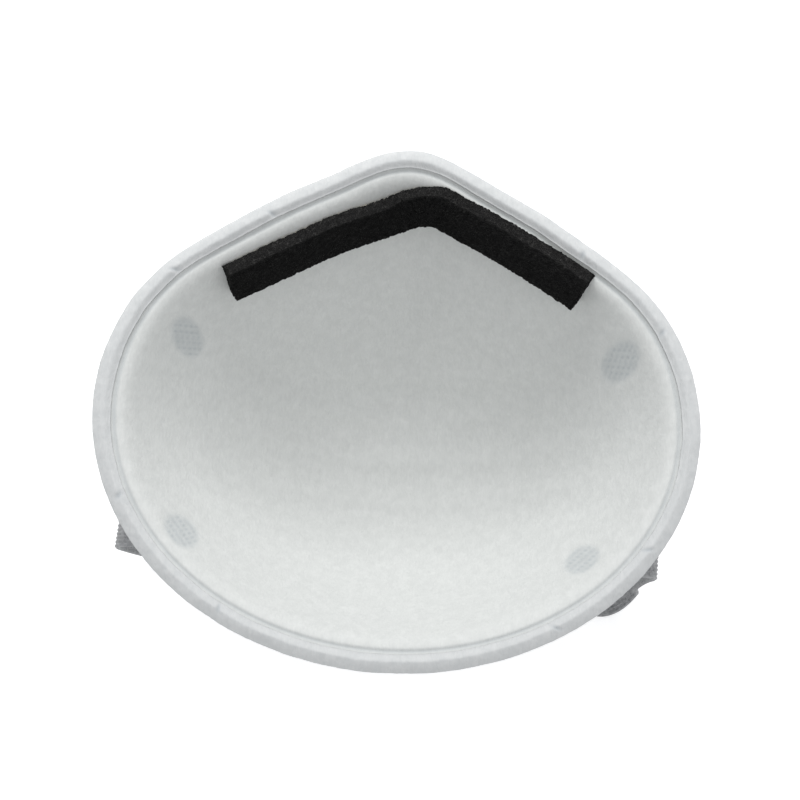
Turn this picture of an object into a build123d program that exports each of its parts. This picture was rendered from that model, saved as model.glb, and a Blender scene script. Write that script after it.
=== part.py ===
"""Disposable dust mask: a moulded cup respirator with foam nose strip and two elastic head loops.

The mask lies on its blunt front with the face side open upwards: +Z points towards the wearer's
face, +Y towards the bridge of the nose, -Y towards the chin. Millimetres. The origin is on the
table, under the middle of the mask.
"""
import os
from math import atan2, cos, degrees, exp, hypot, pi, radians, sin, sqrt, tan

from build123d import *

os.makedirs("parts", exist_ok=True)

# ---- driving dimensions -------------------------------------------------------------------
HALF_WIDTH = 70.2            # widest half-width of the rim, across the cheeks
CHIN_REACH = 57.9            # from the widest line down to the chin
NOSE_PEAK = 6.5              # how far the nose stands above the plain oval
NOSE_SPREAD = 15.5           # degrees, width of that peak
FLANK_DIP = 2.0              # flattening of the rim beside the nose
FLANK_ANGLE = 44.0           # degrees from the nose to the middle of each flank
FLANK_SPREAD = 15.0
TOTAL_HEIGHT = 50.0          # table to the planar top of the rim hem
WIDEST_Y = -3.25             # the widest line, so that the outline is centred on the origin

HEM_WIDTH = 4.3              # the cover folded over the edge
HEM_ROUNDING = 1.0
FOLD_INSET = 1.3             # the layers stop this far inside the outline
FLANGE_LEVEL = 47.2          # underside of the flat flange
CUP_INSET = 3.6              # outline to the outer wall's mouth
FRONT_FLAT = 0.22            # share of the mouth's radius that is flat at the very front
MOUTH_SLOPE = radians(58.0)  # the wall's steepness where it meets the flange
LAYER_CLEARANCE = 0.05

# layer name: (thickness on the wall, thickness pressed flat in the flange)
LAYERS = {
    "outer_cover": (0.45, 0.40),
    "filter_web_outer": (0.60, 0.25),
    "filter_web_inner": (0.60, 0.25),
    "moulded_shell": (0.90, 0.50),
    "inner_liner": (0.45, 0.30),
}

FOAM_WIDTH = 8.5
FOAM_THICKNESS = 3.9
FOAM_INSET = 9.3             # outline to the strip's middle line, in plan
FOAM_HALF_ANGLE = 50.0       # degrees each side of the nose
CLIP_WIDTH = 5.0
CLIP_THICKNESS = 0.9
CLIP_INSET = 5.7
CLIP_HALF_ANGLE = 47.0
TAPE_THICKNESS = 0.15
TAPE_GAP = 0.3               # clear of the cup's fabric
BAND_GAP = 0.45              # between a tape and what it holds
TAB_GAP = 0.8                # between a strap's welded end and the cup's fabric
BAND_STATIONS = 13

STRAP_WIDTH = 7.0
STRAP_THICKNESS = 1.0
BODY_GAP = 0.3               # between a fixed strap tab and its swinging loop
# each loop: weld line's Y, height of the free strap at the weld, X where the tab starts on the
# wall, where it leaves the wall, and where the swinging loop starts
STRAPS = {
    "head_strap": (18.5 + WIDEST_Y, 34.0, 44.0, 50.0, 58.0),
    "neck_strap": (-27.8 + WIDEST_Y, 32.6, 40.0, 46.0, 51.0),
}
SIDE_CORNERS = {"head_strap": 63.0, "neck_strap": 65.0}   # X of the bend downwards
TABLE_SIDE_X = 62.0          # the loop reaches the table here
TABLE_IN_X = 50.0            # and its side run ends here, inside the table run
TABLE_START_X = 56.0
# route over the table after its start, from the right side to the middle: (X, Y) of its corners
TABLE_ROUTES = {
    "head_strap": ((45.5, 19.5), (28.0, 43.5), (0.0, 60.0)),
    "neck_strap": ((45.0, -33.4), (25.0, -49.0), (0.0, -54.5)),
}
ARC_SHARE = 0.45             # of a route's run that one corner's arc may use


# ---- the cup's outer surface, by formula ---------------------------------------------------
def rim_radius(angle):
    """Distance from the widest line's middle to the outline, at an angle from +X."""
    oval = 1.0 / sqrt((cos(angle) / HALF_WIDTH) ** 2 + (sin(angle) / CHIN_REACH) ** 2)
    from_nose = degrees(abs(atan2(cos(angle), sin(angle))))
    peak = NOSE_PEAK * exp(-((from_nose / NOSE_SPREAD) ** 2))
    dip = FLANK_DIP * exp(-(((from_nose - FLANK_ANGLE) / FLANK_SPREAD) ** 2))
    return oval + peak - dip


def steepness(angle):
    """Exponent of the cup's profile: gentler at the nose, fuller at the chin."""
    upward = 0.5 * (1.0 + sin(angle))
    return 2.5 - 0.75 * upward**2


def cup_radius(angle, height, offset, flange_offset):
    """Radius in plan of the cup's surface at a height, a given distance inside its outside."""
    mouth = rim_radius(angle) - CUP_INSET - offset / sin(MOUTH_SLOPE)
    top = FLANGE_LEVEL + flange_offset
    front_share = 1.0 - FRONT_FLAT ** steepness(angle)
    full_depth = (top - offset) / front_share
    return mouth * (1.0 - (top - height) / full_depth) ** (1.0 / steepness(angle))


OUTLINE_COUNT = 40
SECTION_SHARES = (FRONT_FLAT, 0.33, 0.46, 0.60, 0.74, 0.86, 0.94, 1.0)
MEAN_STEEPNESS = 2.3


def outline_point(angle, inset):
    """A point of the rim outline, moved inwards at a right angle to the outline."""
    step = 0.001
    x, y = (rim_radius(angle) * f(angle) for f in (cos, sin))
    ahead_x, ahead_y = (rim_radius(angle + step) * f(angle + step) for f in (cos, sin))
    length = hypot(ahead_x - x, ahead_y - y)
    return x - inset * (ahead_y - y) / length, y + inset * (ahead_x - x) / length + WIDEST_Y


def oval_sketch(inset, level):
    """The rim outline moved inwards by an even distance, at a level."""
    points = [outline_point(2.0 * pi * i / OUTLINE_COUNT, inset) for i in range(OUTLINE_COUNT)]
    with BuildSketch(Plane.XY.offset(level)) as oval:
        with BuildLine():
            Spline(*points, periodic=True)
        make_face()
    return oval.sketch


def cup_sections(offset, flange_offset):
    """Closed sections of the cup's surface from its flat front up to the flange."""
    top = FLANGE_LEVEL + flange_offset
    front = FRONT_FLAT**MEAN_STEEPNESS
    sections = []
    for share in SECTION_SHARES:
        height = offset + (top - offset) * (share**MEAN_STEEPNESS - front) / (1.0 - front)
        points = []
        for i in range(OUTLINE_COUNT):
            angle = 2.0 * pi * i / OUTLINE_COUNT
            radius = cup_radius(angle, height, offset, flange_offset)
            points.append((radius * cos(angle), radius * sin(angle) + WIDEST_Y))
        with BuildSketch(Plane.XY.offset(height)) as section:
            with BuildLine():
                Spline(*points, periodic=True)
            make_face()
        sections.append(section.sketch)
    return sections


# ---- the stack of layers --------------------------------------------------------------------
wall_start, flange_start = 0.0, 0.0
for layer_name, (wall, flange) in LAYERS.items():
    is_cover = layer_name == "outer_cover"
    inset = 0.0 if is_cover else FOLD_INSET + LAYER_CLEARANCE
    hollow = cup_sections(wall_start + wall, flange_start + flange)
    with BuildPart() as layer:
        loft(cup_sections(wall_start, flange_start))
        extrude(oval_sketch(inset, FLANGE_LEVEL + flange_start), amount=flange)
        loft(hollow, mode=Mode.SUBTRACT)
        extrude(hollow[-1], amount=1.0, mode=Mode.SUBTRACT)
    if is_cover:
        cover_skin = layer.part
    else:
        layer.part.label = layer_name
        export_step(layer.part, f"parts/{layer_name}.step")
    print(layer_name, round(layer.part.volume), "mm3", layer.part.is_valid)
    wall_start += wall + LAYER_CLEARANCE
    flange_start += flange + LAYER_CLEARANCE

LINER = (wall_start - LAYER_CLEARANCE, flange_start - LAYER_CLEARANCE)   # the cup's inside

# The outer cover also wraps the edge and folds over it as a soft hem, flat on top.
lip_level = FLANGE_LEVEL + flange_start
with BuildPart() as outer_cover:
    add(cover_skin)
    with BuildSketch(Plane.XY.offset(FLANGE_LEVEL)):
        add(oval_sketch(0.0, 0.0))
        add(oval_sketch(FOLD_INSET, 0.0), mode=Mode.SUBTRACT)
    extrude(amount=TOTAL_HEIGHT - FLANGE_LEVEL)
    with BuildSketch(Plane.XY.offset(lip_level)):
        add(oval_sketch(0.0, 0.0))
        add(oval_sketch(HEM_WIDTH, 0.0), mode=Mode.SUBTRACT)
    extrude(amount=TOTAL_HEIGHT - lip_level)
    top_face = outer_cover.faces().filter_by(Axis.Z).sort_by(Axis.Z)[-1]
    fillet(top_face.outer_wire().edges(), radius=HEM_ROUNDING)
outer_cover.part.label = "outer_cover"
export_step(outer_cover.part, "parts/outer_cover.step")
print("outer_cover", round(outer_cover.part.volume), "mm3", outer_cover.part.is_valid)


# ---- bands that follow the cup's wall: foam, clip, tapes and strap ends ------------------------
def surface_height(x, y, layer):
    """Height of the cup's outside (0, 0) or inside (LINER) over a point of the plan."""
    offset, flange_offset = layer
    angle = atan2(y - WIDEST_Y, x)
    mouth = rim_radius(angle) - CUP_INSET - offset / sin(MOUTH_SLOPE)
    top = FLANGE_LEVEL + flange_offset
    full_depth = (top - offset) / (1.0 - FRONT_FLAT ** steepness(angle))
    share = hypot(x, y - WIDEST_Y) / mouth
    return top - full_depth * (1.0 - share ** steepness(angle))


def surface_normal(x, y, layer):
    """Unit normal of the cup's wall, pointing into the cup."""
    step = 0.05
    rise_x = surface_height(x + step, y, layer) - surface_height(x - step, y, layer)
    rise_y = surface_height(x, y + step, layer) - surface_height(x, y - step, layer)
    return Vector(-rise_x / (2 * step), -rise_y / (2 * step), 1.0).normalized()


def band_section(here, ahead, layer, width, low, high):
    """Cross-section of a band at a station, seated on the wall over its whole width."""
    middle = Vector(*here, surface_height(*here, layer))
    along = (Vector(*ahead, surface_height(*ahead, layer)) - middle).normalized()
    normal = surface_normal(*here, layer)
    across = along.cross(normal).normalized()
    normal = across.cross(along).normalized()
    if normal.Z < 0:
        normal = normal * -1.0
    plane = Plane(origin=middle, x_dir=across, z_dir=along)
    side = 1.0 if plane.y_dir.dot(normal) > 0 else -1.0
    seats = []
    for share in (-0.5, 0.0, 0.5):
        lift = 0.0
        for _ in range(8):
            point = middle + across * (share * width) + normal * lift
            lift -= (point.Z - surface_height(point.X, point.Y, layer)) * normal.Z
        seats.append((share * width, lift))
    lower = [(v, side * (h + low)) for v, h in seats]
    upper = [(v, side * (h + high)) for v, h in seats]
    with BuildSketch(plane) as section:
        with BuildLine():
            Spline(*lower)
            Line(lower[-1], upper[-1])
            Spline(*reversed(upper))
            Line(upper[0], lower[0])
        make_face()
    return section.sketch


def nose_path(inset, half_angle):
    """Stations parallel to the rim, from the right cheek over the nose to the left."""
    return [outline_point(radians(90.0 - half_angle + 2.0 * half_angle * i / BAND_STATIONS), inset)
            for i in range(BAND_STATIONS + 1)]


OUTSIDE = (0.0, 0.0)
tape_top = TAPE_GAP + TAPE_THICKNESS
# name: (surface it sits on, inset in plan, half angle, width, lower and upper distance)
NOSE_BANDS = {
    "nose_foam_adhesive": (LINER, FOAM_INSET, FOAM_HALF_ANGLE - 1.0, FOAM_WIDTH - 1.0,
                           TAPE_GAP, tape_top),
    "nose_foam": (LINER, FOAM_INSET, FOAM_HALF_ANGLE, FOAM_WIDTH,
                  tape_top + BAND_GAP, tape_top + BAND_GAP + FOAM_THICKNESS),
    "nose_clip_adhesive": (OUTSIDE, CLIP_INSET, CLIP_HALF_ANGLE - 1.0, CLIP_WIDTH - 1.0,
                           -tape_top, -TAPE_GAP),
    "nose_clip": (OUTSIDE, CLIP_INSET, CLIP_HALF_ANGLE, CLIP_WIDTH,
                  -tape_top - BAND_GAP - CLIP_THICKNESS, -tape_top - BAND_GAP),
}
for band_name, (layer, inset, half_angle, width, low, high) in NOSE_BANDS.items():
    stations = nose_path(inset, half_angle)
    with BuildPart() as band:
        loft([band_section(here, ahead, layer, width, low, high)
              for here, ahead in zip(stations, stations[1:])])
    band.part.label = band_name
    export_step(band.part, f"parts/{band_name}.step")
    print(band_name, round(band.part.volume), "mm3", band.part.is_valid)


# ---- elastic straps --------------------------------------------------------------------------
def corner_radii(points):
    """The largest tangent arcs that leave the runs between them room."""
    radii = []
    for before, here, after in zip(points, points[1:], points[2:]):
        run_in, run_out = Vector(here) - Vector(before), Vector(after) - Vector(here)
        shorter = min(run_in.length, run_out.length)
        radii.append(ARC_SHARE * shorter / tan(radians(run_in.get_angle(run_out)) / 2.0))
    return radii


for strap_name, (weld_y, free_z, tab_start, tab_leaves, loop_start) in STRAPS.items():
    # the end welded to the cup wall, peeling off it towards the loop
    for side, side_name in ((-1.0, "left"), (1.0, "right")):
        tab_end = loop_start - BODY_GAP
        welded = [tab_start + (tab_leaves - tab_start) * share for share in (0.0, 0.35, 0.7, 1.0)]
        sections = [band_section((side * x, weld_y), (side * (x + 0.5), weld_y), OUTSIDE,
                                 STRAP_WIDTH, -TAB_GAP - STRAP_THICKNESS, -TAB_GAP)
                    for x in welded]
        for x in (tab_end - 1.5, tab_end):
            with BuildSketch(Plane(origin=(side * x, weld_y, free_z), x_dir=(0, 1, 0),
                                   z_dir=(side, 0, 0))) as free_end:
                Rectangle(STRAP_WIDTH, STRAP_THICKNESS)
            sections.append(free_end.sketch)
        with BuildPart() as tab:
            loft(sections)
        tab.part.label = f"{strap_name}_tab_{side_name}"
        export_step(tab.part, f"parts/{strap_name}_tab_{side_name}.step")
        print(tab.part.label, round(tab.part.volume), "mm3", tab.part.is_valid)

    # the free loop: down each side, then flat over the table to the middle
    table_z = STRAP_THICKNESS / 2.0
    side_route = ((loop_start, free_z), (SIDE_CORNERS[strap_name], free_z),
                  (TABLE_SIDE_X, table_z), (TABLE_IN_X, table_z))
    table_right = ((TABLE_START_X, weld_y),) + TABLE_ROUTES[strap_name]
    table_route = table_right + tuple((-x, y) for x, y in table_right[-2::-1])
    side_radii, table_radii = corner_radii(side_route), corner_radii(table_route)
    print(strap_name, "radii", [round(r, 1) for r in side_radii + table_radii])
    with BuildPart() as strap:
        with BuildSketch(Plane.XZ.offset(-weld_y)):
            with BuildLine():
                side_path = FilletPolyline(*side_route, radius=side_radii)
            trace(line_width=STRAP_THICKNESS)
            mirror(about=Plane.YZ)
        extrude(amount=STRAP_WIDTH / 2.0, both=True)
        with BuildSketch(Plane.XY):
            with BuildLine():
                table_path = FilletPolyline(*table_route, radius=table_radii)
            trace(line_width=STRAP_WIDTH)
        extrude(amount=STRAP_THICKNESS)
    print("  length", round(2.0 * side_path.length + table_path.length), "mm")
    strap.part.label = strap_name
    export_step(strap.part, f"parts/{strap_name}.step")
    print(strap_name, round(strap.part.volume), "mm3", strap.part.is_valid)
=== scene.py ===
"""Disposable moulded-cup dust mask: the finished looks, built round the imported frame. Metres."""
import math

import bmesh
import bpy
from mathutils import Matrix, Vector, noise


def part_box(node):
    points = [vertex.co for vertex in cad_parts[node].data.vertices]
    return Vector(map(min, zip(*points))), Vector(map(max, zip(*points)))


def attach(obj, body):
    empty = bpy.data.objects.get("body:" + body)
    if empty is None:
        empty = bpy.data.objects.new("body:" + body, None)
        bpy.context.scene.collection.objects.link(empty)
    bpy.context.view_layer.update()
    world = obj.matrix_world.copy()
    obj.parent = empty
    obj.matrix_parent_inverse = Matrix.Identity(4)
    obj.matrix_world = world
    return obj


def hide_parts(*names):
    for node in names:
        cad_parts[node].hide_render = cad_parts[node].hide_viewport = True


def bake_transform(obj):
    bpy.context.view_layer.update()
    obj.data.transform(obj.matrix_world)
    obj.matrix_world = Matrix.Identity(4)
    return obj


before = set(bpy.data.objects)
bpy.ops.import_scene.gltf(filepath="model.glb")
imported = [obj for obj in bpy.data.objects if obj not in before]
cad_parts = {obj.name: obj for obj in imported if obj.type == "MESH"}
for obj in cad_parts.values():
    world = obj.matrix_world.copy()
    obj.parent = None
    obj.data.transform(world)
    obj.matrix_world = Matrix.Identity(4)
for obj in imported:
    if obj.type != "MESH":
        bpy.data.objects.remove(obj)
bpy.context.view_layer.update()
scene = bpy.context.scene

# ---- camera ---------------------------------------------------------------------------------
# Looks down into the cup from above, a little from the chin side, with the mask turned slightly
# clockwise in the view.
cover_low, cover_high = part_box("outer_cover")
rim_height = cover_high.z
outline_middle = Vector((0.0, 0.5 * (cover_low.y + cover_high.y), rim_height))
camera_data = bpy.data.cameras.new("camera")
camera_data.lens = 90.0
camera_data.shift_x = 0.003
camera_data.shift_y = 0.0070
camera = bpy.data.objects.new("camera", camera_data)
scene.collection.objects.link(camera)
camera_elevation = math.radians(81.0)
camera_distance = 0.4605
camera_turn = math.radians(3.4)
back = Vector((0.0, -math.cos(camera_elevation), math.sin(camera_elevation)))
camera.location = outline_middle + back * camera_distance
camera.rotation_euler = (-back).to_track_quat("-Z", "Y").to_euler("XYZ")
camera.rotation_euler.rotate_axis("Z", camera_turn)
scene.camera = camera

# ---- table and studio light -----------------------------------------------------------------
# A white table lit from below, a broad soft key from beyond the nose, a weaker fill and a pale
# surround.
table_data = bpy.data.meshes.new("table")
table_edge = 3.0
table_data.from_pydata(
    [(-table_edge, -table_edge, 0.0), (table_edge, -table_edge, 0.0),
     (table_edge, table_edge, 0.0), (-table_edge, table_edge, 0.0)], [], [(0, 1, 2, 3)])
table = bpy.data.objects.new("table", table_data)
scene.collection.objects.link(table)
table_paint = bpy.data.materials.new("table_white")
table_paint.use_nodes = True
table_shader = table_paint.node_tree.nodes["Principled BSDF"]
table_shader.inputs["Base Color"].default_value = (0.95, 0.95, 0.95, 1.0)
table_shader.inputs["Roughness"].default_value = 0.9
table_shader.inputs["Emission Color"].default_value = (1.0, 1.0, 1.0, 1.0)
table_shader.inputs["Emission Strength"].default_value = 0.40
table_data.materials.append(table_paint)

for lamp_name, place, aim, size, power in (
    ("key", (-0.12, 0.85, 0.74), (0.0, 0.0, 0.03), 0.7, 8.9),
    ("fill", (0.5, -0.7, 1.0), (0.0, 0.0, 0.03), 1.0, 1.6),
):
    lamp_data = bpy.data.lights.new(lamp_name, "AREA")
    lamp_data.size = size
    lamp_data.energy = power
    lamp = bpy.data.objects.new(lamp_name, lamp_data)
    lamp.location = place
    lamp.rotation_euler = (Vector(aim) - Vector(place)).to_track_quat("-Z", "Y").to_euler()
    scene.collection.objects.link(lamp)
world = bpy.data.worlds.new("studio")
world.use_nodes = True
world.node_tree.nodes["Background"].inputs["Color"].default_value = (0.97, 0.98, 1.0, 1.0)
world.node_tree.nodes["Background"].inputs["Strength"].default_value = 0.62
scene.world = world
scene.view_settings.view_transform = "Standard"

# ---- felt layers ------------------------------------------------------------------------------
# The wall is five layers of non-woven fabric, heat-pressed together over one mould: a soft cover,
# two filter webs, a stiff formed shell and a smooth liner. The shape is one formula, and each
# layer lies a set distance inside it. The rim is flat, and pressed thinner.
HALF_WIDTH = 0.5 * (cover_high.x - cover_low.x)
CHIN_REACH = 0.0579
NOSE_PEAK = 0.0065
NOSE_SPREAD = math.radians(15.5)
FLANK_DIP = 0.0020
FLANK_ANGLE = math.radians(44.0)
FLANK_SPREAD = math.radians(15.0)
WIDEST_Y = -0.00325
FLANGE_LEVEL = 0.0472
CUP_INSET = 0.0036
FRONT_FLAT = 0.22
MOUTH_SLOPE = math.radians(58.0)
RIB_PITCH = 0.0104
RIB_HEIGHT = 0.00075
RIB_TOP_Y = 0.0141
RIB_BOW = 2.6


def rim_radius(angle):
    """Outline of the rim: an oval with a raised nose and slightly flattened flanks."""
    oval = 1.0 / math.hypot(math.cos(angle) / HALF_WIDTH, math.sin(angle) / CHIN_REACH)
    from_nose = abs(math.atan2(math.cos(angle), math.sin(angle)))
    peak = NOSE_PEAK * math.exp(-((from_nose / NOSE_SPREAD) ** 2))
    dip = FLANK_DIP * math.exp(-(((from_nose - FLANK_ANGLE) / FLANK_SPREAD) ** 2))
    return oval + peak - dip


def rib_lift(x, y):
    """Five shallow ribs moulded across the front, bowed towards the chin, gone at the cheeks."""
    along = RIB_TOP_Y + RIB_BOW * x * x - y
    count = along / RIB_PITCH
    if count < -0.5 or count > 4.5:
        return 0.0
    across = max(0.0, 1.0 - (abs(x) / 0.050) ** 4)
    return RIB_HEIGHT * across * (0.5 + 0.5 * math.cos(2.0 * math.pi * count)) ** 1.5


def cup_height(x, y, offset, flange_offset):
    """Height of the surface a set distance inside the cup's outside, with its blended mouth."""
    angle = math.atan2(y - WIDEST_Y, x)
    steepness = 2.5 - 0.75 * (0.5 * (1.0 + math.sin(angle))) ** 2
    mouth = rim_radius(angle) - CUP_INSET - offset / math.sin(MOUTH_SLOPE)
    top = FLANGE_LEVEL + flange_offset
    full_depth = (top - offset) / (1.0 - FRONT_FLAT**steepness)
    share = math.hypot(math.hypot(x, y - WIDEST_Y) / mouth, 0.06)
    depth = full_depth * (1.0 - share**steepness)
    depth = 0.5 * (depth + math.hypot(depth, 0.0031))
    floor = top - offset
    depth = floor - 0.5 * ((floor - depth) + math.hypot(floor - depth, 0.0006))
    return top - depth + rib_lift(x, y)


def cup_point(angle, inset, offset, flange_offset):
    """Point of that surface a distance inside the outline, measured towards the middle."""
    radius = rim_radius(angle) - inset
    x, y = radius * math.cos(angle), radius * math.sin(angle) + WIDEST_Y
    return Vector((x, y, cup_height(x, y, offset, flange_offset)))


def closed_shell(name, rings, pole_first, pole_last):
    """Mesh of rings joined in order, each a list of points, closed by a pole at both ends."""
    count = len(rings[0])
    points = [pole_first] + [p for ring in rings for p in ring] + [pole_last]
    faces = []
    for i in range(count):
        j = (i + 1) % count
        faces.append((0, 1 + j, 1 + i))
        for k in range(len(rings) - 1):
            here, there = 1 + k * count, 1 + (k + 1) * count
            faces.append((here + i, here + j, there + j, there + i))
        last = 1 + (len(rings) - 1) * count
        faces.append((last + i, last + j, len(points) - 1))
    mesh = bpy.data.meshes.new(name)
    mesh.from_pydata(points, [], faces)
    tidy = bmesh.new()
    tidy.from_mesh(mesh)
    bmesh.ops.recalc_face_normals(tidy, faces=tidy.faces)
    tidy.to_mesh(mesh)
    tidy.free()
    mesh.shade_smooth()
    piece = bpy.data.objects.new(name, mesh)
    scene.collection.objects.link(piece)
    return piece


def even_angles(count):
    return [2.0 * math.pi * i / count for i in range(count)]


def fade_in(low, high, value):
    t = min(max((value - low) / (high - low), 0.0), 1.0)
    return t * t * (3.0 - 2.0 * t)


# the shares of the mouth's radius where rings lie, closer together towards the rim
def ring_shares(count):
    return [math.sin(1.35 * (i + 1) / count) / math.sin(1.35) for i in range(count)]


FOLD_INSET = 0.00135
# layer: (lower and upper distance on the wall, the same in the flange, rings, points a ring)
INNER_LAYERS = {
    "filter_web_outer": (0.00050, 0.00110, 0.00045, 0.00070, 60, 160),
    "filter_web_inner": (0.00115, 0.00175, 0.00075, 0.00100, 60, 160),
    "moulded_shell": (0.00180, 0.00270, 0.00105, 0.00155, 60, 160),
}


def layer_rings(count, points, inset, offset, flange_offset):
    rings = []
    for share in ring_shares(count):
        rings.append([
            cup_point(a, rim_radius(a) - share * (rim_radius(a) - inset), offset, flange_offset)
            for a in even_angles(points)])
    return rings


def cup_pole(offset, flange_offset):
    return Vector((0.0, WIDEST_Y, cup_height(1e-6, WIDEST_Y, offset, flange_offset)))


# Fibres: fine crossing hairs, softer clumps under them, and a slow unevenness of the web.
def new_group(name, inputs, outputs):
    group = bpy.data.node_groups.new(name, "ShaderNodeTree")
    for label, kind, value in inputs:
        socket = group.interface.new_socket(label, in_out="INPUT", socket_type=kind)
        if value is not None:
            socket.default_value = value
    for label, kind in outputs:
        group.interface.new_socket(label, in_out="OUTPUT", socket_type=kind)
    return group, group.nodes.new("NodeGroupInput"), group.nodes.new("NodeGroupOutput")


felt_group, felt_in, felt_out = new_group(
    "felt_fibres",
    [("Hair Scale", "NodeSocketFloat", 900.0), ("Clump Scale", "NodeSocketFloat", 260.0),
     ("Colour", "NodeSocketColor", (0.8, 0.8, 0.8, 1.0)),
     ("Shaded Colour", "NodeSocketColor", (0.7, 0.7, 0.7, 1.0))],
    [("Colour", "NodeSocketColor"), ("Height", "NodeSocketFloat")])
felt_place = felt_group.nodes.new("ShaderNodeTexCoord")
hair_waves = []
for turn, stretch in ((0.45, (1.0, 0.38, 0.6)), (2.3, (1.0, 0.32, 0.6))):
    mapping = felt_group.nodes.new("ShaderNodeMapping")
    mapping.inputs["Rotation"].default_value = (0.2, 0.3, turn)
    mapping.inputs["Scale"].default_value = stretch
    hairs = felt_group.nodes.new("ShaderNodeTexNoise")
    hairs.inputs["Detail"].default_value = 3.0
    hairs.inputs["Distortion"].default_value = 0.6
    felt_group.links.new(felt_place.outputs["Object"], mapping.inputs["Vector"])
    felt_group.links.new(mapping.outputs["Vector"], hairs.inputs["Vector"])
    felt_group.links.new(felt_in.outputs["Hair Scale"], hairs.inputs["Scale"])
    hair_waves.append(hairs)
clumps = felt_group.nodes.new("ShaderNodeTexNoise")
clumps.inputs["Detail"].default_value = 4.0
felt_group.links.new(felt_place.outputs["Object"], clumps.inputs["Vector"])
felt_group.links.new(felt_in.outputs["Clump Scale"], clumps.inputs["Scale"])
crossing = felt_group.nodes.new("ShaderNodeMath")
crossing.operation = "MAXIMUM"
felt_group.links.new(hair_waves[0].outputs["Fac"], crossing.inputs[0])
felt_group.links.new(hair_waves[1].outputs["Fac"], crossing.inputs[1])
matted = felt_group.nodes.new("ShaderNodeMath")
matted.operation = "MULTIPLY_ADD"
matted.inputs[1].default_value = 0.8
felt_group.links.new(clumps.outputs["Fac"], matted.inputs[0])
felt_group.links.new(crossing.outputs["Value"], matted.inputs[2])
felt_range = felt_group.nodes.new("ShaderNodeMapRange")
felt_range.inputs["From Min"].default_value = 0.75
felt_range.inputs["From Max"].default_value = 1.2
felt_group.links.new(matted.outputs["Value"], felt_range.inputs["Value"])
felt_tint = felt_group.nodes.new("ShaderNodeMix")
felt_tint.data_type = "RGBA"
felt_group.links.new(felt_range.outputs["Result"], felt_tint.inputs["Factor"])
felt_group.links.new(felt_in.outputs["Shaded Colour"], felt_tint.inputs[6])
felt_group.links.new(felt_in.outputs["Colour"], felt_tint.inputs[7])
felt_group.links.new(felt_tint.outputs[2], felt_out.inputs["Colour"])
felt_group.links.new(felt_range.outputs["Result"], felt_out.inputs["Height"])


def felt_material(name, colour, shaded, hair_scale, clump_scale, bump, mark_colour=None):
    """Non-woven felt; where mark_colour is given, the mesh's per-point tint values mix it in: the
    grey of welds on the liner, painted shade in the hem's tucks on the cover.
    """
    material = bpy.data.materials.new(name)
    material.use_nodes = True
    nodes, links = material.node_tree.nodes, material.node_tree.links
    shader = nodes["Principled BSDF"]
    shader.inputs["Roughness"].default_value = 0.95
    shader.inputs["Specular IOR Level"].default_value = 0.15
    shader.inputs["Sheen Weight"].default_value = 0.12
    shader.inputs["Sheen Roughness"].default_value = 0.6
    felt = nodes.new("ShaderNodeGroup")
    felt.node_tree = felt_group
    felt.inputs["Hair Scale"].default_value = hair_scale
    felt.inputs["Clump Scale"].default_value = clump_scale
    felt.inputs["Colour"].default_value = (*colour, 1.0)
    felt.inputs["Shaded Colour"].default_value = (*shaded, 1.0)
    colour_from = felt.outputs["Colour"]
    if mark_colour is not None:
        weld_tint_and_tuck_shade = nodes.new("ShaderNodeAttribute")
        weld_tint_and_tuck_shade.attribute_name = "weld_tint_and_tuck_shade"
        tint = nodes.new("ShaderNodeMix")
        tint.data_type = "RGBA"
        tint.inputs[7].default_value = (*mark_colour, 1.0)
        links.new(weld_tint_and_tuck_shade.outputs["Fac"], tint.inputs["Factor"])
        links.new(colour_from, tint.inputs[6])
        colour_from = tint.outputs[2]
    links.new(colour_from, shader.inputs["Base Color"])
    relief = nodes.new("ShaderNodeBump")
    relief.inputs["Strength"].default_value = bump
    relief.inputs["Distance"].default_value = 0.0003
    links.new(felt.outputs["Height"], relief.inputs["Height"])
    links.new(relief.outputs["Normal"], shader.inputs["Normal"])
    return material


web_felt = felt_material("blown_filter_web", (0.86, 0.86, 0.85), (0.76, 0.76, 0.75),
                         1400.0, 300.0, 0.3)
shell_felt = felt_material("formed_shell_felt", (0.80, 0.80, 0.78), (0.68, 0.68, 0.66),
                           700.0, 220.0, 0.6)
for layer, (low, high, flange_low, flange_high, count, points) in INNER_LAYERS.items():
    under = layer_rings(count, points, FOLD_INSET, low, flange_low)
    over = layer_rings(count, points, FOLD_INSET, high, flange_high)
    piece = closed_shell(f"{layer}_felt", under + over[::-1],
                         cup_pole(low, flange_low), cup_pole(high, flange_high))
    piece.data.materials.append(shell_felt if layer == "moulded_shell" else web_felt)
    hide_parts(layer)
    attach(piece, "mask_body")

# ---- strap welds ------------------------------------------------------------------------------
# Each strap end is held by an ultrasonic weld through all layers: a patch pressed by a knurled
# horn into a grid of small dents, glassy and grey where the fibres melted together.
# centre X, centre Y, half-length, half-width, tilt of the long axis from +X
WELDS = (
    (0.0520, 0.01520, 0.0047, 0.0041, math.radians(75.0)),
    (-0.0507, 0.01525, 0.0044, 0.0036, math.radians(100.0)),
    (0.0450, -0.03205, 0.0046, 0.0030, math.radians(44.0)),
    (-0.0482, -0.03125, 0.0049, 0.0031, math.radians(130.0)),
)
DENT_PITCH = 0.00115


def weld_press(x, y):
    """(how far inside a weld patch, how deep in one of its dents), both 0 to 1."""
    for centre_x, centre_y, half_length, half_width, tilt in WELDS:
        along = (x - centre_x) * math.cos(tilt) + (y - centre_y) * math.sin(tilt)
        across = (y - centre_y) * math.cos(tilt) - (x - centre_x) * math.sin(tilt)
        reach = math.hypot(along / half_length, across / half_width)
        if reach < 1.25:
            patch = 1.0 - fade_in(0.72, 1.15, reach)
            dent = (0.5 + 0.5 * math.cos(2.0 * math.pi * along / DENT_PITCH)) * (
                0.5 + 0.5 * math.cos(2.0 * math.pi * across / DENT_PITCH))
            return patch, patch * dent
    return 0.0, 0.0


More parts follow.
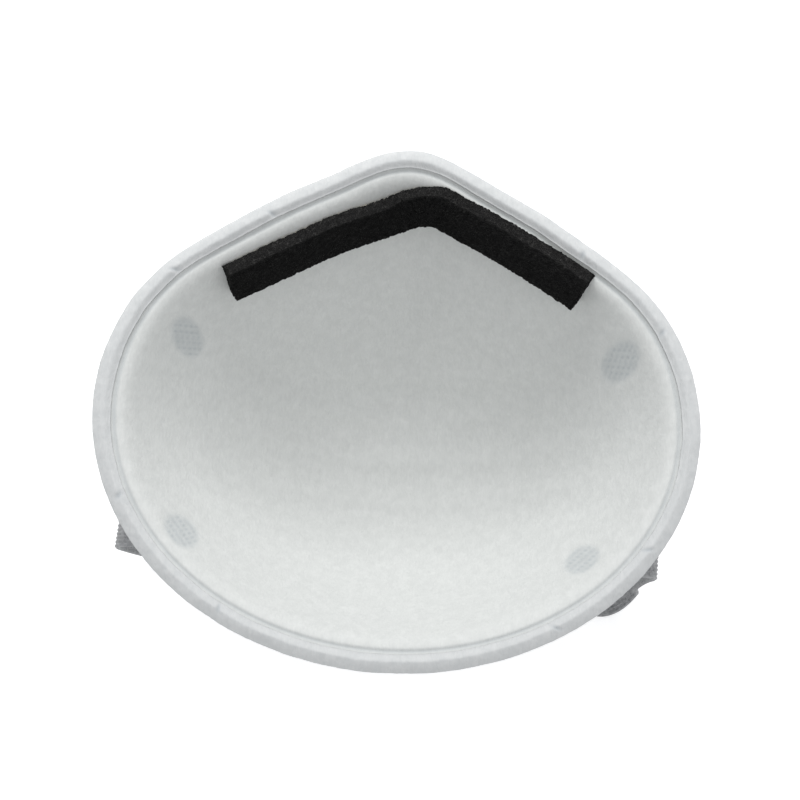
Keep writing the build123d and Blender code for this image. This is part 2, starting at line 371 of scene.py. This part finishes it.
# ---- inner liner ------------------------------------------------------------------------------
# A smooth white felt against the face, moulded with the shell, so that it shows the front ribs,
# and pressed down in a narrow line round the rim where all the layers are welded.
LINER_LOW, LINER_HIGH = 0.00275, 0.00320
LINER_FLANGE_LOW, LINER_FLANGE_HIGH = 0.00160, 0.00190
HEM_WIDTH = 0.0043
GROOVE_WIDTH = 0.0013
GROOVE_DEPTH = 0.00030
LINER_RINGS, LINER_POINTS = 190, 600
HEM_OVERLAP = 0.0008


def liner_top(angle, inset):
    """Point of the visible liner, and how strongly it is pressed there."""
    point = cup_point(angle, inset, LINER_HIGH, LINER_FLANGE_HIGH)
    patch, dent = weld_press(point.x, point.y)
    groove_middle = HEM_WIDTH + 0.5 * GROOVE_WIDTH
    groove = math.exp(-(((inset - groove_middle) / (0.42 * GROOVE_WIDTH)) ** 2))
    wave = 0.00010 * noise.noise(point * 90.0) + 0.00005 * noise.noise(point * 260.0)
    point.z += wave - GROOVE_DEPTH * groove - 0.00012 * patch - 0.00022 * dent
    weld_tint_and_tuck_shade = max(0.42 * groove, patch * (0.38 + 0.42 * dent))
    return point, weld_tint_and_tuck_shade


liner_over, liner_pressed = [], []
for share in ring_shares(LINER_RINGS):
    ring, values = [], []
    for angle in even_angles(LINER_POINTS):
        inset = rim_radius(angle) - share * (rim_radius(angle) - HEM_WIDTH + HEM_OVERLAP)
        point, weld_tint_and_tuck_shade = liner_top(angle, inset)
        ring.append(point)
        values.append(weld_tint_and_tuck_shade)
    liner_over.append(ring)
    liner_pressed.append(values)
liner_under = []
for share in ring_shares(LINER_RINGS)[::3] + [1.0]:
    liner_under.append([
        cup_point(a, rim_radius(a) - share * (rim_radius(a) - HEM_WIDTH + HEM_OVERLAP),
                  LINER_LOW, LINER_FLANGE_LOW) + Vector((0.0, 0.0, -0.0002))
        for a in even_angles(LINER_POINTS)])
liner = closed_shell("inner_liner_felt", liner_over + liner_under[::-1],
                     cup_pole(LINER_HIGH, LINER_FLANGE_HIGH), cup_pole(LINER_LOW, LINER_FLANGE_LOW))
press_values = [0.0] + [v for ring in liner_pressed for v in ring]
press_values += [0.0] * (len(liner.data.vertices) - len(press_values))
liner.data.attributes.new("weld_tint_and_tuck_shade", "FLOAT", "POINT").data.foreach_set("value", press_values)
liner.data.materials.append(felt_material(
    "smooth_liner_felt", (0.70, 0.712, 0.697), (0.635, 0.648, 0.634), 1500.0, 420.0, 0.22,
    mark_colour=(0.42, 0.455, 0.47)))
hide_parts("inner_liner")
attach(liner, "mask_body")

# ---- outer cover --------------------------------------------------------------------------------
# The soft outside felt covers the front, wraps round the rim and folds over it as a puffy hem,
# slightly gathered, with a few small tucks where the slack was folded away.
HEM_TOP = rim_height
COVER_RINGS, COVER_POINTS = 110, 1080
# angle from +X, inset from the edge, of the small pinches where slack was folded away
TUCKS = ((2.60, 0.0029), (2.17, 0.0030), (0.79, 0.0028), (0.38, 0.0029), (3.47, 0.0026),
         (5.86, 0.0029), (4.02, 0.0028), (5.42, 0.0024))
HEM_UNDERCUT = 0.0016            # how far the rounding reaches in under the rim
HEM_CREST = 1.15                 # the swell is full at the share 1 / HEM_CREST of the width
HEM_FALL = 0.70                  # fall towards the groove, in half-thicknesses
HEM_FALL_START = 0.56            # share of the width where that fall starts
PINCH_SIZE = 0.00052
PINCH_DEPTH = 0.00035
MEAN_RIM_RADIUS = 0.062


def hem_profile():
    """The hem's section from under the rim, round the edge and over to the groove."""
    half_thickness = 0.5 * (HEM_TOP - FLANGE_LEVEL)
    middle = FLANGE_LEVEL + half_thickness
    profile = []
    for i in range(10):
        turn = 0.5 * math.pi * (1.0 - i / 10.0)
        profile.append((HEM_UNDERCUT * (1.0 - math.cos(turn)),
                        middle - half_thickness * math.sin(turn)))
    for i in range(27):
        share = i / 26.0
        swell = 1.0 - (1.0 - min(1.0, HEM_CREST * share)) ** 2
        fall = HEM_FALL * fade_in(HEM_FALL_START, 1.0, share)
        profile.append((HEM_WIDTH * share, middle + half_thickness * (swell - fall)))
    return profile


def hem_waviness(angle, inset):
    """(unevenness of the hem, how deep inside one of the pinches)"""
    place = Vector((math.cos(angle) * 9.0, math.sin(angle) * 9.0, inset * 120.0))
    uneven = 0.00010 * noise.noise(place * 1.3) + 0.00005 * noise.noise(place * 5.0)
    pinch = 0.0
    for tuck_angle, tuck_inset in TUCKS:
        turn = math.atan2(math.sin(angle - tuck_angle), math.cos(angle - tuck_angle))
        inward = inset - tuck_inset
        reach = math.hypot(turn * MEAN_RIM_RADIUS + 0.5 * inward, 0.55 * inward)
        pinch += math.exp(-((reach / PINCH_SIZE) ** 2))
    return uneven, min(pinch, 1.0)


cover_angles = even_angles(COVER_POINTS)
cover_rings = []
for share in ring_shares(COVER_RINGS):
    ring = []
    for angle in cover_angles:
        point = cup_point(angle, rim_radius(angle) - share * (rim_radius(angle) - 0.0017), 0.0, 0.0)
        patch, dent = weld_press(point.x, point.y)
        point.z += 0.00008 * noise.noise(point * 120.0) + 0.00015 * dent
        ring.append(point)
    cover_rings.append(ring)
cover_tuck_shade = [[0.0] * COVER_POINTS for _ in cover_rings]
for inset, height in hem_profile():
    ring, values = [], []
    for angle in cover_angles:
        uneven, pinch = hem_waviness(angle, inset)
        radius = rim_radius(angle) - inset + 1.2 * uneven
        ring.append(Vector((radius * math.cos(angle), radius * math.sin(angle) + WIDEST_Y,
                            height + uneven - PINCH_DEPTH * pinch)))
        # painted shade: the hem's tucks are tinted darker grey-blue where the fold is deepest
        values.append(0.75 * pinch)
    cover_rings.append(ring)
    cover_tuck_shade.append(values)
for inset in (0.0036, 0.0025, FOLD_INSET):
    cover_rings.append([
        cup_point(a, inset, 0.0033, 0.00197) for a in cover_angles])
cover_inner = layer_rings(COVER_RINGS // 2, COVER_POINTS, FOLD_INSET, 0.00045, 0.00040)
cover_tuck_shade_values = [0.0] + [v for ring in cover_tuck_shade for v in ring]
cover = closed_shell("outer_cover_felt", cover_rings + cover_inner[::-1],
                     cup_pole(0.0, 0.0), cup_pole(0.00045, 0.00040))
cover_tuck_shade_values += [0.0] * (len(cover.data.vertices) - len(cover_tuck_shade_values))
cover.data.attributes.new("weld_tint_and_tuck_shade", "FLOAT", "POINT").data.foreach_set("value", cover_tuck_shade_values)
# its mark colour is the painted shade in the hem's tucks
cover.data.materials.append(felt_material(
    "soft_cover_felt", (0.64, 0.65, 0.648), (0.575, 0.589, 0.59), 1300.0, 420.0, 0.3,
    mark_colour=(0.44, 0.47, 0.49)))
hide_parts("outer_cover")
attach(cover, "mask_body")

# ---- nose foam, clip and tapes ------------------------------------------------------------------
# A strip of black open-cell foam is taped inside the nose to seal it. Outside, under the rim, a
# dull aluminium strip is taped on, which the wearer pinches to shape.
LINER_INSIDE = (LINER_HIGH, LINER_FLANGE_HIGH)
COVER_OUTSIDE = (0.0, 0.0)


def wall_normal(x, y, layer):
    step = 0.0002
    rise_x = cup_height(x + step, y, *layer) - cup_height(x - step, y, *layer)
    rise_y = cup_height(x, y + step, *layer) - cup_height(x, y - step, *layer)
    return Vector((-rise_x / (2.0 * step), -rise_y / (2.0 * step), 1.0)).normalized()


def wall_seat(here, ahead, layer):
    """Frame on the wall at a point of the plan: place, direction along, across and outwards."""
    place = Vector((*here, cup_height(*here, *layer)))
    along = (Vector((*ahead, cup_height(*ahead, *layer))) - place).normalized()
    outward = wall_normal(*here, layer)
    across = along.cross(outward).normalized()
    return place, along, across, across.cross(along).normalized()


def seat_lift(seat, share, layer):
    """How far above the seat's plane the wall lies, at a distance across."""
    place, _, across, outward = seat
    lift = 0.0
    for _ in range(6):
        point = place + across * share + outward * lift
        lift -= (point.z - cup_height(point.x, point.y, *layer)) * outward.z
    return lift


# The foam was stuck on by hand: its bend sits a little to the right of the nose.
FOAM_LINE = ((0.0424, 0.0308), (0.0300, 0.0386), (0.0105, 0.0484), (0.0078, 0.0500),
             (0.0022, 0.0505), (-0.0030, 0.0492), (-0.0225, 0.0406), (-0.0422, 0.0290))


def foam_path(share):
    """Point at a share of the foam's line: a quadratic B-spline over FOAM_LINE."""
    knots = [0.0, 0.0] + [i / (len(FOAM_LINE) - 2) for i in range(len(FOAM_LINE) - 1)] + [1.0, 1.0]
    at = min(max(share, 0.0), 0.999999)
    k = max(i for i in range(2, len(FOAM_LINE)) if knots[i] <= at)
    held = [Vector(FOAM_LINE[k - 2 + i]) for i in range(3)]
    for level in (1, 2):
        for i in range(2, level - 1, -1):
            start, end = knots[k - 2 + i], knots[k + 1 + i - level]
            held[i] = held[i - 1].lerp(held[i], (share - start) / (end - start))
    return held[2].x, held[2].y


def rim_path(inset, half_angle, share):
    """Point at a share of a line parallel to the rim, from the right cheek to the left one."""
    angle = math.radians(90.0 + half_angle * (2.0 * share - 1.0))
    step = 0.002
    x, y = (rim_radius(angle) * f(angle) for f in (math.cos, math.sin))
    next_x, next_y = (rim_radius(angle + step) * f(angle + step) for f in (math.cos, math.sin))
    length = math.hypot(next_x - x, next_y - y)
    return x - inset * (next_y - y) / length, y + inset * (next_x - x) / length + WIDEST_Y


def rounded_section(width, low, high, corner, spacing):
    """Points round a rectangle with round corners, from the lower left, evenly spaced."""
    points = []
    centres = ((-1, -1, 180), (1, -1, 270), (1, 1, 0), (-1, 1, 90))
    middle, half = 0.5 * (low + high), 0.5 * (high - low)
    corners = []
    for side, up, start in centres:
        for i in range(7):
            turn = math.radians(start + 15.0 * i)
            corners.append((side * (0.5 * width - corner) + corner * math.cos(turn),
                            middle + up * (half - corner) + corner * math.sin(turn)))
    for (v0, h0), (v1, h1) in zip(corners, corners[1:] + corners[:1]):
        pieces_here = max(1, round(math.hypot(v1 - v0, h1 - h0) / spacing))
        points += [(v0 + (v1 - v0) * i / pieces_here, h0 + (h1 - h0) * i / pieces_here)
                   for i in range(pieces_here)]
    return points


def nose_band(name, layer, line, width, low, high, corner, spacing, stations):
    """Band on the wall along a line of the plan (a function of a share), with rounded ends."""
    section = rounded_section(width, low, high, corner, spacing)
    middle = 0.5 * (low + high)
    rings = []
    ends = [0.25, 0.55, 0.85]
    plan = [(0.0, s) for s in ends] + [(i / stations, 1.0) for i in range(stations + 1)]
    plan += [(1.0, s) for s in ends[::-1]]
    for place_share, size in plan:
        here, ahead = line(place_share), line(place_share + 0.004)
        seat = wall_seat(here, ahead, layer)
        place, along, across, outward = seat
        lifts = [seat_lift(seat, s * width, layer) for s in (-0.5, 0.0, 0.5)]
        ring = []
        for v, h in section:
            s = v / width
            lift = (lifts[1] + (lifts[2] - lifts[0]) * s
                    + 2.0 * (lifts[2] + lifts[0] - 2.0 * lifts[1]) * s * s)
            ring.append(place + across * (v * size)
                        + outward * (lift + middle + (h - middle) * size))
        rings.append(ring)
    first = sum(rings[0], Vector()) / len(rings[0])
    last = sum(rings[-1], Vector()) / len(rings[-1])
    return closed_shell(name, rings, first, last)


# Foam cells: painted shade in the cell pits and lighter painted glints on the cell walls, in random
# patches.
foam_group, foam_in, foam_out = new_group(
    "foam_cells", [("Cell Scale", "NodeSocketFloat", 1900.0)],
    [("Skin", "NodeSocketFloat"), ("Height", "NodeSocketFloat")])
foam_place = foam_group.nodes.new("ShaderNodeTexCoord")
cells = foam_group.nodes.new("ShaderNodeTexVoronoi")
cells.feature = "DISTANCE_TO_EDGE"
cell_patches = foam_group.nodes.new("ShaderNodeTexNoise")
cell_patches.inputs["Scale"].default_value = 700.0
cell_patches.inputs["Detail"].default_value = 3.0
cell_walls = foam_group.nodes.new("ShaderNodeMapRange")
cell_walls.inputs["From Max"].default_value = 0.22
cell_walls.inputs["To Min"].default_value = 1.0
cell_walls.inputs["To Max"].default_value = 0.0
pit_shade = foam_group.nodes.new("ShaderNodeMath")
pit_shade.operation = "MULTIPLY"
foam_group.links.new(foam_place.outputs["Object"], cells.inputs["Vector"])
foam_group.links.new(foam_place.outputs["Object"], cell_patches.inputs["Vector"])
foam_group.links.new(foam_in.outputs["Cell Scale"], cells.inputs["Scale"])
foam_group.links.new(cells.outputs["Distance"], cell_walls.inputs["Value"])
foam_group.links.new(cell_walls.outputs["Result"], pit_shade.inputs[0])
foam_group.links.new(cell_patches.outputs["Fac"], pit_shade.inputs[1])
foam_group.links.new(pit_shade.outputs["Value"], foam_out.inputs["Skin"])
foam_group.links.new(cell_walls.outputs["Result"], foam_out.inputs["Height"])

foam_black = bpy.data.materials.new("black_open_cell_foam")
foam_black.use_nodes = True
foam_nodes, foam_links = foam_black.node_tree.nodes, foam_black.node_tree.links
foam_shader = foam_nodes["Principled BSDF"]
foam_shader.inputs["Roughness"].default_value = 0.75
foam_shader.inputs["Specular IOR Level"].default_value = 0.15
foam_cells = foam_nodes.new("ShaderNodeGroup")
foam_cells.node_tree = foam_group
foam_ramp = foam_nodes.new("ShaderNodeValToRGB")
foam_ramp.color_ramp.elements[0].color = (0.003, 0.003, 0.003, 1.0)
foam_ramp.color_ramp.elements[0].position = 0.12
foam_ramp.color_ramp.elements[1].color = (0.019, 0.019, 0.018, 1.0)
foam_ramp.color_ramp.elements[1].position = 0.62
foam_links.new(foam_cells.outputs["Skin"], foam_ramp.inputs["Fac"])
# painted highlight: lighter cell colours for the foam's side that faces the key light
foam_lit_side_ramp = foam_nodes.new("ShaderNodeValToRGB")
foam_lit_side_ramp.color_ramp.elements[0].color = (0.006, 0.006, 0.006, 1.0)
foam_lit_side_ramp.color_ramp.elements[0].position = 0.15
foam_lit_side_ramp.color_ramp.elements[1].color = (0.080, 0.078, 0.075, 1.0)
foam_lit_side_ramp.color_ramp.elements[1].position = 0.75
foam_lit_side_attribute = foam_nodes.new("ShaderNodeAttribute")
foam_lit_side_attribute.attribute_name = "painted_lit_side"
foam_tone = foam_nodes.new("ShaderNodeMix")
foam_tone.data_type = "RGBA"
foam_links.new(foam_cells.outputs["Skin"], foam_lit_side_ramp.inputs["Fac"])
foam_links.new(foam_lit_side_attribute.outputs["Fac"], foam_tone.inputs["Factor"])
foam_links.new(foam_ramp.outputs["Color"], foam_tone.inputs[6])
foam_links.new(foam_lit_side_ramp.outputs["Color"], foam_tone.inputs[7])
foam_links.new(foam_tone.outputs[2], foam_shader.inputs["Base Color"])
foam_relief = foam_nodes.new("ShaderNodeBump")
foam_relief.inputs["Strength"].default_value = 0.9
foam_relief.inputs["Distance"].default_value = 0.0004
foam_links.new(foam_cells.outputs["Height"], foam_relief.inputs["Height"])
foam_links.new(foam_relief.outputs["Normal"], foam_shader.inputs["Normal"])

foam = nose_band("nose_foam_strip", LINER_INSIDE, foam_path, 0.0086, 0.00042, 0.0047,
                 0.0004, 0.00026, 360)
# painted highlight: the side towards the rim faces the key light, so it is painted lighter and
# greyer
foam_lit_side_values = [0.9 * fade_in(0.05, 0.45, v.normal.y) for v in foam.data.vertices]
foam.data.attributes.new("painted_lit_side", "FLOAT", "POINT").data.foreach_set("value", foam_lit_side_values)
for vertex in foam.data.vertices:
    pit = noise.cell(vertex.co * 2600.0) * 0.00016
    rough = noise.noise(vertex.co * 800.0) * 0.00020 + noise.noise(vertex.co * 90.0) * 0.00012
    vertex.co += vertex.normal * (rough - pit)
foam.data.materials.append(foam_black)
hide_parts("nose_foam")
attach(foam, "mask_body")

clip_metal = bpy.data.materials.new("dull_rolled_aluminium")
clip_metal.use_nodes = True
clip_nodes, clip_links = clip_metal.node_tree.nodes, clip_metal.node_tree.links
clip_shader = clip_nodes["Principled BSDF"]
clip_shader.inputs["Metallic"].default_value = 1.0
clip_shader.inputs["Base Color"].default_value = (0.80, 0.81, 0.82, 1.0)
clip_place = clip_nodes.new("ShaderNodeTexCoord")
clip_stretch = clip_nodes.new("ShaderNodeMapping")
clip_stretch.inputs["Scale"].default_value = (0.12, 1.0, 1.0)
clip_grain = clip_nodes.new("ShaderNodeTexNoise")
clip_grain.inputs["Scale"].default_value = 1800.0
clip_grain.inputs["Detail"].default_value = 4.0
clip_rough = clip_nodes.new("ShaderNodeMapRange")
clip_rough.inputs["To Min"].default_value = 0.28
clip_rough.inputs["To Max"].default_value = 0.55
clip_links.new(clip_place.outputs["Object"], clip_stretch.inputs["Vector"])
clip_links.new(clip_stretch.outputs["Vector"], clip_grain.inputs["Vector"])
clip_links.new(clip_grain.outputs["Fac"], clip_rough.inputs["Value"])
clip_links.new(clip_rough.outputs["Result"], clip_shader.inputs["Roughness"])
clip = nose_band("nose_clip_strip", COVER_OUTSIDE, lambda share: rim_path(0.0057, 47.0, share),
                 0.0050, -0.00135, -0.00045, 0.00035, 0.0006, 120)
clip.data.materials.append(clip_metal)
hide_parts("nose_clip")
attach(clip, "mask_body")

tape_film = bpy.data.materials.new("yellowish_tape")
tape_film.use_nodes = True
tape_nodes, tape_links = tape_film.node_tree.nodes, tape_film.node_tree.links
tape_shader = tape_nodes["Principled BSDF"]
tape_shader.inputs["Roughness"].default_value = 0.4
tape_cloud = tape_nodes.new("ShaderNodeTexNoise")
tape_cloud.inputs["Scale"].default_value = 500.0
tape_ramp = tape_nodes.new("ShaderNodeValToRGB")
tape_ramp.color_ramp.elements[0].color = (0.62, 0.59, 0.48, 1.0)
tape_ramp.color_ramp.elements[1].color = (0.74, 0.71, 0.60, 1.0)
tape_links.new(tape_cloud.outputs["Fac"], tape_ramp.inputs["Fac"])
tape_links.new(tape_ramp.outputs["Color"], tape_shader.inputs["Base Color"])
for tape_name, layer, line, width, low, high in (
    ("nose_foam_adhesive", LINER_INSIDE, lambda share: foam_path(0.01 + 0.98 * share),
     0.0076, 0.00008, 0.00042),
    ("nose_clip_adhesive", COVER_OUTSIDE, lambda share: rim_path(0.0057, 46.0, share),
     0.0040, -0.00045, -0.00008),
):
    tape = nose_band(f"{tape_name}_tape", layer, line, width, low, high, 0.00008, 0.0006, 120)
    tape.data.materials.append(tape_film)
    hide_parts(tape_name)
    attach(tape, "mask_body")

# ---- elastic straps -----------------------------------------------------------------------------
# Two loops of flat grey knitted elastic, 7 mm wide with fine lengthwise ribs. Each end is welded
# flat on the outside of the cup, and the loose loop is tucked under the mask.
STRAP_WIDTH = 0.0070
STRAP_THICKNESS = 0.0010
STRAP_RIBS = 7
AXIS_OUT = Vector((1.0, 0.0, 0.0))


def elastic_section():
    """Flat section with lengthwise ribs on both faces and round edges: (across, through)."""
    steps = 6 * STRAP_RIBS
    half = 0.5 * STRAP_THICKNESS
    top = []
    for i in range(steps + 1):
        share = i / steps
        rib = 0.00013 * math.cos(2.0 * math.pi * STRAP_RIBS * (share - 0.5 / STRAP_RIBS))
        edge = min(share, 1.0 - share) * STRAP_WIDTH
        height = (half - 0.00013 + rib) * min(1.0, math.sqrt(max(edge, 0.0) / 0.0004) * 0.9 + 0.1)
        top.append(((share - 0.5) * STRAP_WIDTH, height))
    return top + [(v, -h) for v, h in top[::-1]]


def ribbon(name, stations):
    """Closed strap mesh through stations of (middle, along, across)."""
    section = elastic_section()
    rings = []
    for middle, along, across in stations:
        through = across.cross(along).normalized()
        rings.append([middle + across * v + through * h for v, h in section])
    return closed_shell(name, rings, stations[0][0], stations[-1][0])


def smooth_route(name, points):
    """Points along the NURBS line that has the route's points as its control points."""
    curve = bpy.data.curves.new(name, "CURVE")
    curve.dimensions = "3D"
    curve.resolution_u = 24
    spline = curve.splines.new("NURBS")
    spline.points.add(len(points) - 1)
    for point, place in zip(spline.points, points):
        point.co = (*place, 1.0)
    spline.order_u = 3
    spline.use_endpoint_u = True
    line = bpy.data.objects.new(name, curve)
    scene.collection.objects.link(line)
    bpy.context.view_layer.update()
    sampled = bpy.data.meshes.new_from_object(line)
    places = [v.co.copy() for v in sampled.vertices]
    bpy.data.objects.remove(line)
    bpy.data.meshes.remove(sampled)
    return places


knit_group, knit_in, knit_out = new_group(
    "knitted_elastic", [("Stitch Scale", "NodeSocketFloat", 900.0)],
    [("Fac", "NodeSocketFloat")])
knit_place = knit_group.nodes.new("ShaderNodeTexCoord")
knit_yarn = knit_group.nodes.new("ShaderNodeTexVoronoi")
knit_fuzz = knit_group.nodes.new("ShaderNodeTexNoise")
knit_fuzz.inputs["Scale"].default_value = 2600.0
knit_fuzz.inputs["Detail"].default_value = 3.0
knit_sum = knit_group.nodes.new("ShaderNodeMath")
knit_sum.operation = "MULTIPLY_ADD"
knit_sum.inputs[1].default_value = 0.6
knit_group.links.new(knit_place.outputs["Object"], knit_yarn.inputs["Vector"])
knit_group.links.new(knit_place.outputs["Object"], knit_fuzz.inputs["Vector"])
knit_group.links.new(knit_in.outputs["Stitch Scale"], knit_yarn.inputs["Scale"])
knit_group.links.new(knit_yarn.outputs["Distance"], knit_sum.inputs[0])
knit_group.links.new(knit_fuzz.outputs["Fac"], knit_sum.inputs[2])
knit_group.links.new(knit_sum.outputs["Value"], knit_out.inputs["Fac"])

elastic_grey = bpy.data.materials.new("grey_ribbed_elastic")
elastic_grey.use_nodes = True
elastic_nodes, elastic_links = elastic_grey.node_tree.nodes, elastic_grey.node_tree.links
elastic_shader = elastic_nodes["Principled BSDF"]
elastic_shader.inputs["Roughness"].default_value = 0.85
elastic_shader.inputs["Sheen Weight"].default_value = 0.2
elastic_knit = elastic_nodes.new("ShaderNodeGroup")
elastic_knit.node_tree = knit_group
elastic_ramp = elastic_nodes.new("ShaderNodeValToRGB")
elastic_ramp.color_ramp.elements[0].color = (0.11, 0.112, 0.118, 1.0)
elastic_ramp.color_ramp.elements[0].position = 0.3
elastic_ramp.color_ramp.elements[1].color = (0.33, 0.335, 0.34, 1.0)
elastic_ramp.color_ramp.elements[1].position = 1.0
elastic_links.new(elastic_knit.outputs["Fac"], elastic_ramp.inputs["Fac"])
elastic_links.new(elastic_ramp.outputs["Color"], elastic_shader.inputs["Base Color"])
elastic_relief = elastic_nodes.new("ShaderNodeBump")
elastic_relief.inputs["Strength"].default_value = 0.5
elastic_relief.inputs["Distance"].default_value = 0.0002
elastic_links.new(elastic_knit.outputs["Fac"], elastic_relief.inputs["Height"])
elastic_links.new(elastic_relief.outputs["Normal"], elastic_shader.inputs["Normal"])

STRAPS = {
    "head_strap": {
        "body": "head_loop", "weld_y": 0.01525, "free_z": 0.0340, "tab_start": 0.044,
        "tab_leaves": 0.050, "loop_start": 0.058, "length": 0.215,
        "route": ((0.058, 0.01525, 0.0340), (0.063, 0.01525, 0.0340), (0.062, 0.01525, 0.0008),
                  (0.0455, 0.0195, 0.0008), (0.028, 0.0435, 0.0008), (0.0, 0.060, 0.0008),
                  (-0.028, 0.0435, 0.0008), (-0.0455, 0.0195, 0.0008),
                  (-0.062, 0.01525, 0.0008), (-0.063, 0.01525, 0.0340),
                  (-0.058, 0.01525, 0.0340)),
    },
    "neck_strap": {
        "body": "neck_loop", "weld_y": -0.03105, "free_z": 0.0326, "tab_start": 0.040,
        "tab_leaves": 0.046, "loop_start": 0.051, "length": 0.207,
        "route": ((0.051, -0.03105, 0.0326), (0.0660, -0.0311, 0.0326),
                  (0.0620, -0.0315, 0.0120), (0.0565, -0.0395, 0.0008),
                  (0.0500, -0.0390, 0.0008), (0.045, -0.0370, 0.0008),
                  (0.025, -0.0490, 0.0008), (0.0, -0.0545, 0.0008),
                  (-0.025, -0.0490, 0.0008), (-0.045, -0.0334, 0.0008),
                  (-0.062, -0.03105, 0.0008), (-0.068, -0.03105, 0.0326),
                  (-0.051, -0.03105, 0.0326)),
    },
}
for strap_name, strap in STRAPS.items():
    # the loose loop: its width stays square to the line, carried along without twisting
    places = smooth_route(f"{strap_name}_line", strap["route"])
    across = Vector((0.0, 1.0, 0.0))
    stations = []
    for i, place in enumerate(places):
        before, after = places[max(i - 1, 0)], places[min(i + 1, len(places) - 1)]
        along = (after - before).normalized()
        if i == 0 or i == len(places) - 1:
            along = AXIS_OUT.copy()
            across = Vector((0.0, 1.0, 0.0)) if i == 0 else across
        across = (across - along * across.dot(along)).normalized()
        level = Vector((-along.y, along.x, 0.0))
        if place.z < 0.012 and level.length > 0.2:
            level = level.normalized() * math.copysign(1.0, level.dot(across))
            across = across.lerp(level, fade_in(0.012, 0.003, place.z))
            across = (across - along * across.dot(along)).normalized()
        stations.append((place, along, across.copy()))
    end_across = Vector((0.0, math.copysign(1.0, stations[-1][2].y), 0.0))
    stations[-1] = (stations[-1][0], stations[-1][1], end_across)
    loop = ribbon(f"{strap_name}_loop", stations)
    loop.data.materials.append(elastic_grey)
    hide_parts(strap_name)
    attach(loop, strap["body"])

    # the two welded ends, which follow the wall and then come free of it
    for side, side_name in ((-1.0, "left"), (1.0, "right")):
        stations = []
        for i in range(25):
            x = strap["tab_start"] + (strap["loop_start"] - strap["tab_start"]) * i / 24
            held_x = min(x, strap["tab_leaves"])
            seat = wall_seat((side * held_x, strap["weld_y"]),
                             (side * (held_x + 0.0005), strap["weld_y"]), COVER_OUTSIDE)
            place, along, held_across, outward = seat
            place = place - outward * (0.00015 + 0.5 * STRAP_THICKNESS)
            place += along * (x - held_x)
            free = fade_in(strap["tab_leaves"] - 0.002, strap["loop_start"], x)
            middle = place.lerp(Vector((side * x, strap["weld_y"], strap["free_z"])), free)
            if held_across.y < 0.0:
                held_across = -held_across
            turned = held_across.lerp(Vector((0.0, 1.0, 0.0)), free).normalized()
            heading = along.lerp(AXIS_OUT * side, free).normalized()
            stations.append((middle, heading, turned))
        tab = ribbon(f"{strap_name}_end_{side_name}", stations)
        tab.data.materials.append(elastic_grey)
        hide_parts(f"{strap_name}_tab_{side_name}")
        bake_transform(tab)
